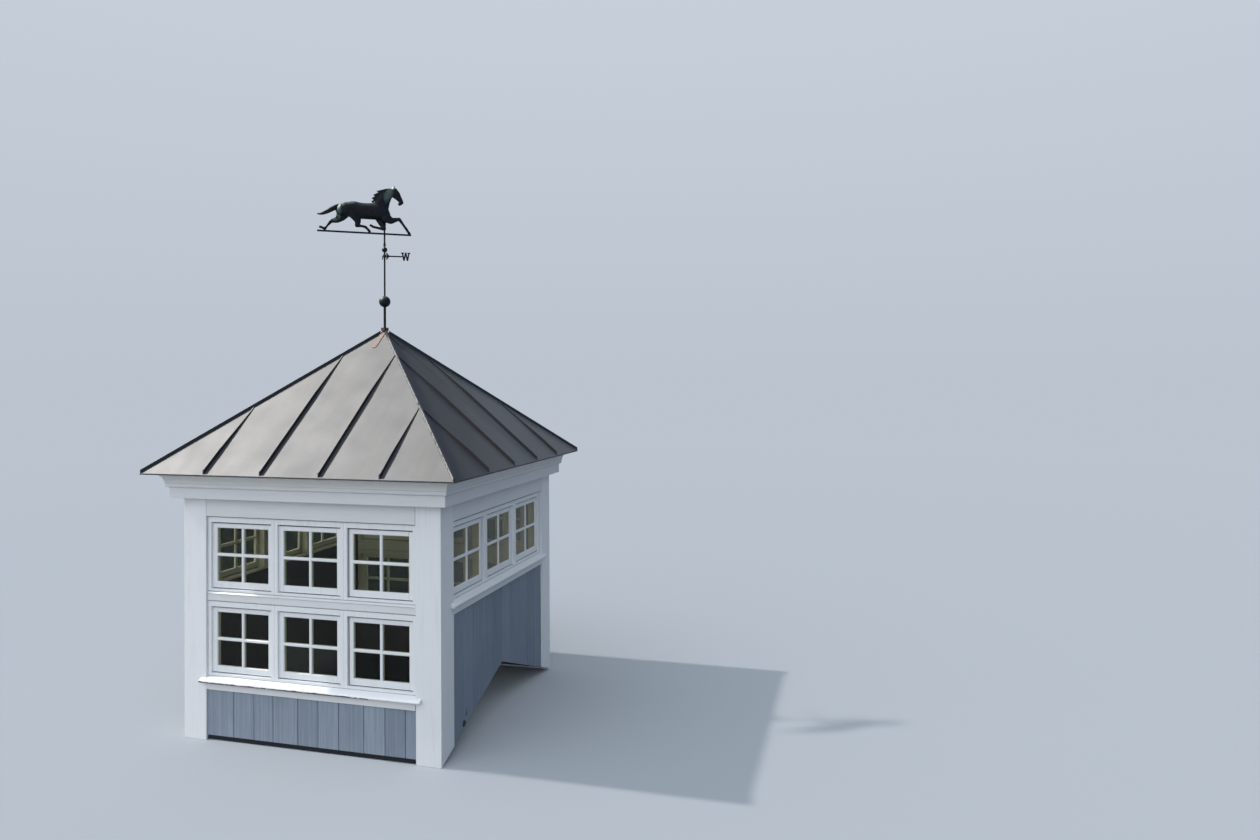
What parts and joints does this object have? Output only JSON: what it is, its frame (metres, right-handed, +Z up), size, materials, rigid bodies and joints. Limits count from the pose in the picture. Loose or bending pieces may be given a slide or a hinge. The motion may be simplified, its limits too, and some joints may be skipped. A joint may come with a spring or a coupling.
{
  "type": "barn cupola with a weathervane",
  "caption": "Square timber barn cupola with sash windows all round, a saddle base, a hipped standing-seam metal roof and a turning running-horse weathervane.",
  "frame": {"origin": "centre of the plan, level with the four feet of the corner boards", "axes": "+X to the right along the front, +Y towards the back, along the slope of the barn roof it sits on, +Z up"},
  "size_m": [2.694, 2.694, 4.5615],
  "materials": {
    "framing": "bare softwood",
    "white_trim": "white paint, chipped on the front sill",
    "blue_siding": "matt blue-grey stain on vertical boards",
    "dark_metal": "satin charcoal paint",
    "vane_metal": "dark green-black patina",
    "copper_straps": "rust-brown copper",
    "glass": "clear pane"
  },
  "bodies": {
    "cupola": {"front_wall": "framing", "back_wall": "framing", "left_wall": "framing", "right_wall": "framing", "corner_posts": "framing", "top_plate": "framing", "front_corner_boards": "white_trim", "back_corner_boards": "white_trim", "side_corner_boards": "white_trim", "front_siding": "blue_siding", "back_siding": "blue_siding", "left_siding": "blue_siding", "right_siding": "blue_siding", "frieze_boards": "white_trim", "front_window_frame": "white_trim", "back_window_frame": "white_trim", "left_window_frame": "white_trim", "right_window_frame": "white_trim", "front_sashes": "white_trim", "back_sashes": "white_trim", "left_sashes": "white_trim", "right_sashes": "white_trim", "window_glass": "glass", "mid_rails": "white_trim", "window_sills": "white_trim", "sill_aprons": "white_trim", "base_flashing": "dark_metal", "soffit": "white_trim", "fascia": "white_trim", "crown_moulding": "white_trim", "roof_deck": "framing", "front_roof_slope": "dark_metal", "right_roof_slope": "dark_metal", "back_roof_slope": "dark_metal", "left_roof_slope": "dark_metal", "hip_seams": "dark_metal", "drip_edge": "dark_metal", "hip_rafters": "framing", "rafters": "framing", "king_block": "framing", "vane_bracket": "copper_straps", "vane_post": "vane_metal", "vane_balls": "vane_metal", "compass_arms": "vane_metal"},
    "vane": {"vane_spindle": "vane_metal", "running_horse": "vane_metal"}
  },
  "joints": [
    {"name": "vane_turn", "type": "hinge", "parent": "cupola", "child": "vane", "pos_m": [0, 0, 4.1], "axis": [0, 0, 1], "continuous": true}
  ]
}
